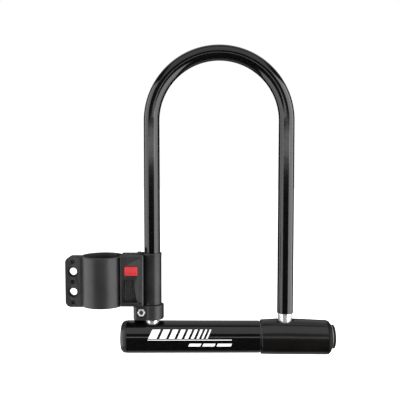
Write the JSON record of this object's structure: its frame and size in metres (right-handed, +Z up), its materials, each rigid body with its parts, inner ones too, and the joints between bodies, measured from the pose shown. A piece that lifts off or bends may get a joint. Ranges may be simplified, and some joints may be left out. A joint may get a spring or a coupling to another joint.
{
  "type": "u lock",
  "caption": "Bicycle U lock with a coated steel shackle, a straight keyed crossbar and a quick-release bracket that clamps to a frame tube.",
  "frame": {"origin": "centre of the bracket's clamp bore, where the frame tube runs", "axes": "+X along the crossbar to its key end, +Y from the front to the back, +Z up along the frame tube and the shackle's legs"},
  "size_m": [0.2321, 0.0372, 0.2658],
  "materials": {
    "bare_steel": "polished, at the feet",
    "black_vinyl": "gloss",
    "bracket_plastic": "fine grain",
    "liner_rubber": "matt",
    "plated_steel": "zinc plated",
    "button_plastic": "satin",
    "dark_steel": "hardened, dark",
    "cuff_plastic": "satin",
    "cylinder_brass": "turned"
  },
  "bodies": {
    "bracket": {"clamp_front": "bracket_plastic", "clamp_hinge_pin": "plated_steel", "liner_front": "liner_rubber", "housing_cover": "bracket_plastic", "cover_screw": "plated_steel", "button_spring": "plated_steel"},
    "rear_clamp": {"clamp_back": "bracket_plastic", "liner_back": "liner_rubber"},
    "release": {"release_button": "button_plastic", "release_catch": "bracket_plastic"},
    "shackle": {"shackle_bar": "bare_steel", "shackle_coating": "black_vinyl", "carrier_sleeve": "bracket_plastic", "carrier_collar": "bracket_plastic", "collar_nut": "plated_steel", "collar_screw": "plated_steel"},
    "crossbar": {"crossbar_tube": "dark_steel", "crossbar_skin": "black_vinyl", "end_plug": "cuff_plastic", "key_end_cuff": "cuff_plastic", "bushing_left": "liner_rubber", "bushing_right": "liner_rubber", "bolt_guide": "dark_steel", "cylinder_housing": "cylinder_brass", "housing_pin": "plated_steel", "drill_plate": "dark_steel", "cover_rivet": "plated_steel"},
    "bolt": {"deadbolt": "plated_steel"},
    "key_barrel": {"plug_sleeve": "cylinder_brass", "plug_cam": "cylinder_brass", "detainer_disc_1": "plated_steel", "detainer_disc_2": "plated_steel", "detainer_disc_3": "plated_steel", "detainer_disc_4": "plated_steel", "detainer_disc_5": "plated_steel"},
    "key_cover": {"dust_cover": "cuff_plastic"}
  },
  "joints": [
    {"name": "clamp_open", "type": "hinge", "parent": "bracket", "child": "rear_clamp", "pos_m": [0.0175, 0.013, 0], "axis": [0, 0, -1], "range_deg": [0, 60]},
    {"name": "button_press", "type": "slide", "parent": "bracket", "child": "release", "axis": [0, 1, 0], "range_m": [0, 0.0025], "stiffness_N_per_m": 600, "springref_m": -0.002, "deforming": ["button_spring"]},
    {"name": "lock_slide", "type": "slide", "parent": "bracket", "child": "shackle", "axis": [0, 0, -1], "range_m": [0, 0.052]},
    {"name": "crossbar_slide", "type": "slide", "parent": "shackle", "child": "crossbar", "axis": [0, 0, -1], "range_m": [0, 0.04]},
    {"name": "key_turn", "type": "hinge", "parent": "crossbar", "child": "key_barrel", "pos_m": [0.19, 0, -0.0493], "axis": [1, 0, 0], "range_deg": [0, 90]},
    {"name": "bolt_throw", "type": "slide", "parent": "crossbar", "child": "bolt", "axis": [-1, 0, 0], "range_m": [0, 0.0035]},
    {"name": "cover_swing", "type": "hinge", "parent": "crossbar", "child": "key_cover", "pos_m": [0.198, 0.0083, -0.0493], "axis": [1, 0, 0], "range_deg": [0, 150]}
  ],
  "couplings": [
    {"joint": "key_turn", "follows": "bolt_throw", "rad_per_m": 448.8}
  ]
}
